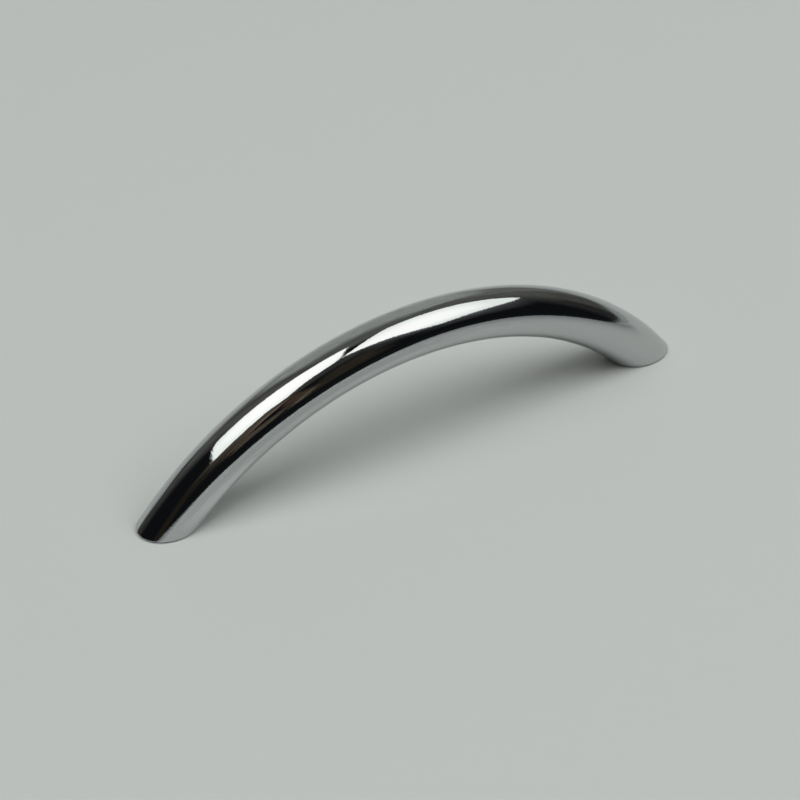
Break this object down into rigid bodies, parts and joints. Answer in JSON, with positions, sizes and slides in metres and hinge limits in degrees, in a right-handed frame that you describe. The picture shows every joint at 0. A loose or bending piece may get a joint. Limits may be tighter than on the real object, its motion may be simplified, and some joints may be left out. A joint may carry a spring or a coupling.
{
  "type": "bow handle",
  "caption": "Arched bow handle for a cabinet door or drawer front: a polished round bar bent to a circular arc, its feet cut flat and tapped for screws.",
  "frame": {"origin": "midway between the two fixing holes, on the plane that both feet stand on", "axes": "+X from the left foot to the right foot, +Y across the bar, +Z out of the door, from the feet to the top of the bow"},
  "size_m": [0.1428, 0.012, 0.036],
  "materials": {
    "chrome": "mirror polished chrome plate"
  },
  "bodies": {
    "root": {"bow": "chrome"}
  },
  "joints": []
}
